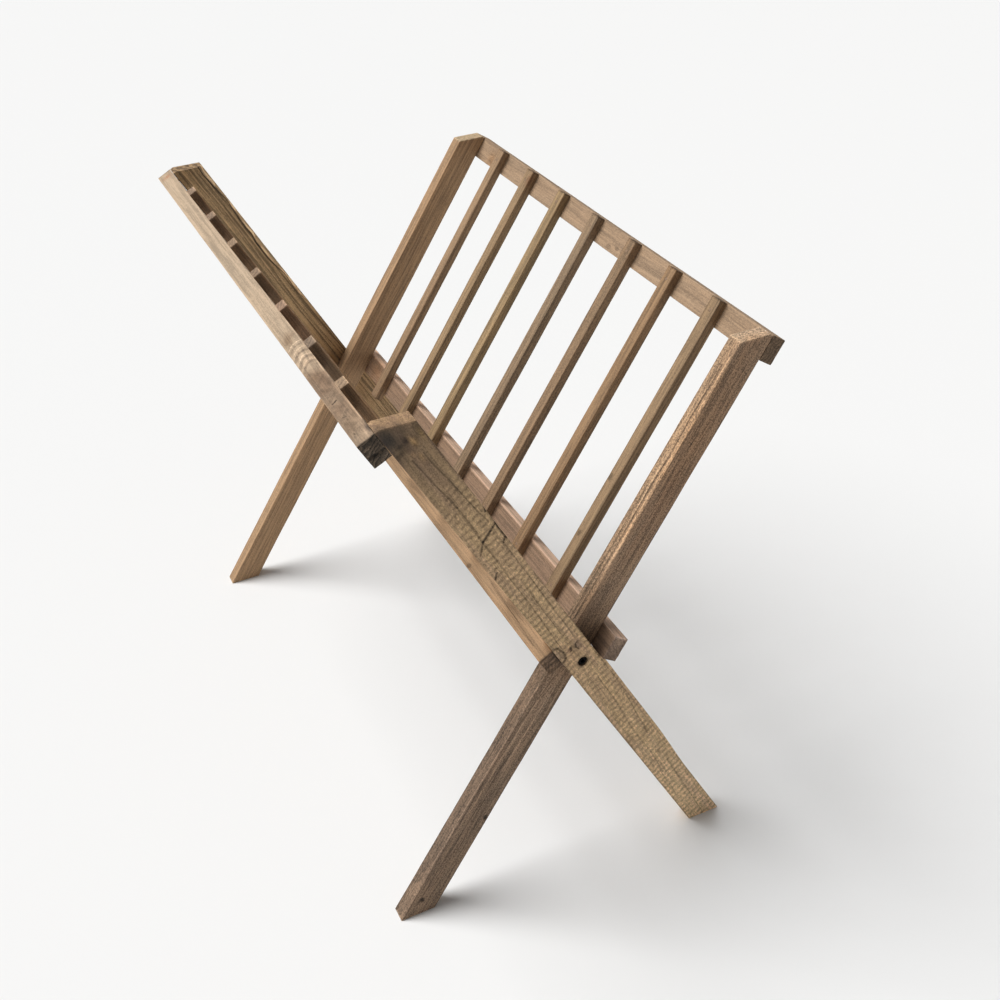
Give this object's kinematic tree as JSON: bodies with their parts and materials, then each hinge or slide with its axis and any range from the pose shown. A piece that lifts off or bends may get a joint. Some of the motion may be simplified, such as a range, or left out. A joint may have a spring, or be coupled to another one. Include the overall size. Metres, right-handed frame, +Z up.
{
  "type": "magazine rack",
  "caption": "Folding X-frame magazine rack: slatted wooden frames cross on pivot screws and hold magazines in the V between them.",
  "frame": {"origin": "on the floor, under the middle of the open rack's box", "axes": "+Z up, Y along the rack and parallel to the pivot axis, the outer frame's top leans towards -X and the inner frame's top towards +X"},
  "size_m": [0.2746, 0.4458, 0.3807],
  "materials": {
    "outer_leg_wood": "rough-sawn weathered pine, olive brown, unfinished",
    "inner_leg_wood": "planed weathered pine, grey brown, unfinished",
    "outer_rail_wood": "sanded weathered pine, pale sand brown, unfinished",
    "inner_rail_wood": "planed weathered pine, warm brown, unfinished",
    "slat_wood": "planed weathered pine, warm brown, unfinished",
    "black_steel": "black oxide, matt",
    "zinc_steel": "dull zinc plate",
    "nail_steel": "dull darkened steel"
  },
  "bodies": {
    "outer_frame": {"outer_leg_left": "outer_leg_wood", "outer_leg_right": "outer_leg_wood", "outer_top_rail": "outer_rail_wood", "outer_lower_rail": "outer_rail_wood", "outer_slat_1": "slat_wood", "outer_slat_2": "slat_wood", "outer_slat_3": "slat_wood", "outer_slat_4": "slat_wood", "outer_slat_5": "slat_wood", "outer_slat_6": "slat_wood", "outer_slat_7": "slat_wood", "outer_rail_screws": "zinc_steel", "outer_slat_brads": "nail_steel", "pivot_washer_left": "zinc_steel", "pivot_washer_right": "zinc_steel"},
    "inner_frame": {"inner_leg_left": "inner_leg_wood", "inner_leg_right": "inner_leg_wood", "inner_top_rail": "inner_rail_wood", "inner_lower_rail": "inner_rail_wood", "inner_slat_1": "slat_wood", "inner_slat_2": "slat_wood", "inner_slat_3": "slat_wood", "inner_slat_4": "slat_wood", "inner_slat_5": "slat_wood", "inner_slat_6": "slat_wood", "inner_slat_7": "slat_wood", "inner_rail_screws": "zinc_steel", "inner_slat_brads": "nail_steel", "pivot_screw_left": "black_steel", "pivot_screw_right": "black_steel"}
  },
  "joints": [
    {"name": "fold", "type": "hinge", "parent": "outer_frame", "child": "inner_frame", "pos_m": [-0.00735, 0, 0.178], "axis": [0, -1, 0], "range_deg": [0, 61.7]}
  ]
}
